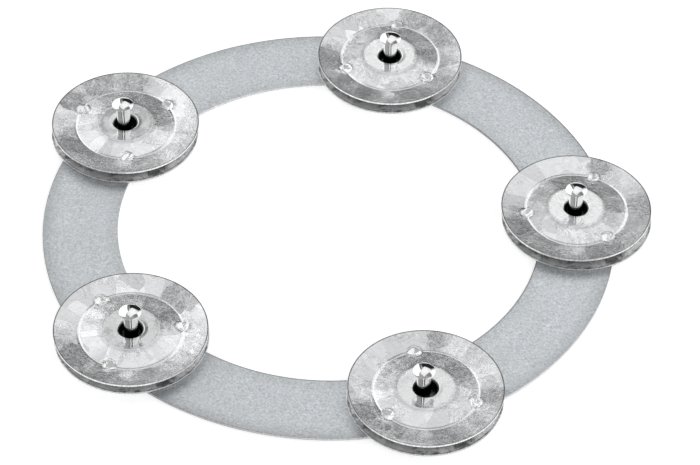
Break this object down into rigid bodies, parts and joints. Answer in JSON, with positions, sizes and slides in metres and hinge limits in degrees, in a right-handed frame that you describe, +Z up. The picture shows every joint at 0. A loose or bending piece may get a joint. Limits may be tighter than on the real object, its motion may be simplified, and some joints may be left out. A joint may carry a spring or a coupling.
{
  "type": "ching ring",
  "caption": "Flat steel ring with pairs of loose pressed jingles on shoulder pins, laid on the top cymbal of a hi-hat so that the jingles sound with it.",
  "frame": {"origin": "on the ring's axis, in the plane of the ring's underside", "axes": "+Z up along the ring's axis, towards the heads of the pins; +X from the axis through the pin of station 1; stations numbered anticlockwise seen from above"},
  "size_m": [0.1626, 0.1664, 0.012],
  "materials": {
    "ring_steel": "satin, fine even grain",
    "pin_steel": "mirror polished plating",
    "jingle_steel": "bright zinc with a spangled crystal pattern and fine scratches"
  },
  "bodies": {
    "ring": {"ring_plate": "ring_steel", "pin_1": "pin_steel", "pin_2": "pin_steel", "pin_3": "pin_steel", "pin_4": "pin_steel", "pin_5": "pin_steel"},
    "lower_1": {"lower_jingle_1": "jingle_steel"},
    "lower_2": {"lower_jingle_2": "jingle_steel"},
    "lower_3": {"lower_jingle_3": "jingle_steel"},
    "lower_4": {"lower_jingle_4": "jingle_steel"},
    "lower_5": {"lower_jingle_5": "jingle_steel"},
    "upper_1": {"upper_jingle_1": "jingle_steel"},
    "upper_2": {"upper_jingle_2": "jingle_steel"},
    "upper_3": {"upper_jingle_3": "jingle_steel"},
    "upper_4": {"upper_jingle_4": "jingle_steel"},
    "upper_5": {"upper_jingle_5": "jingle_steel"}
  },
  "joints": [
    {"name": "lower_jingle_1_slide", "type": "slide", "parent": "ring", "child": "lower_1", "axis": [0, 0, 1], "range_m": [0, 0.0027]},
    {"name": "upper_jingle_1_slide", "type": "slide", "parent": "lower_1", "child": "upper_1", "axis": [0, 0, 1], "range_m": [0, 0.0027]},
    {"name": "lower_jingle_2_slide", "type": "slide", "parent": "ring", "child": "lower_2", "axis": [0, 0, 1], "range_m": [0, 0.0027]},
    {"name": "upper_jingle_2_slide", "type": "slide", "parent": "lower_2", "child": "upper_2", "axis": [0, 0, 1], "range_m": [0, 0.0027]},
    {"name": "lower_jingle_3_slide", "type": "slide", "parent": "ring", "child": "lower_3", "axis": [0, 0, 1], "range_m": [0, 0.0027]},
    {"name": "upper_jingle_3_slide", "type": "slide", "parent": "lower_3", "child": "upper_3", "axis": [0, 0, 1], "range_m": [0, 0.0027]},
    {"name": "lower_jingle_4_slide", "type": "slide", "parent": "ring", "child": "lower_4", "axis": [0, 0, 1], "range_m": [0, 0.0027]},
    {"name": "upper_jingle_4_slide", "type": "slide", "parent": "lower_4", "child": "upper_4", "axis": [0, 0, 1], "range_m": [0, 0.0027]},
    {"name": "lower_jingle_5_slide", "type": "slide", "parent": "ring", "child": "lower_5", "axis": [0, 0, 1], "range_m": [0, 0.0027]},
    {"name": "upper_jingle_5_slide", "type": "slide", "parent": "lower_5", "child": "upper_5", "axis": [0, 0, 1], "range_m": [0, 0.0027]}
  ]
}
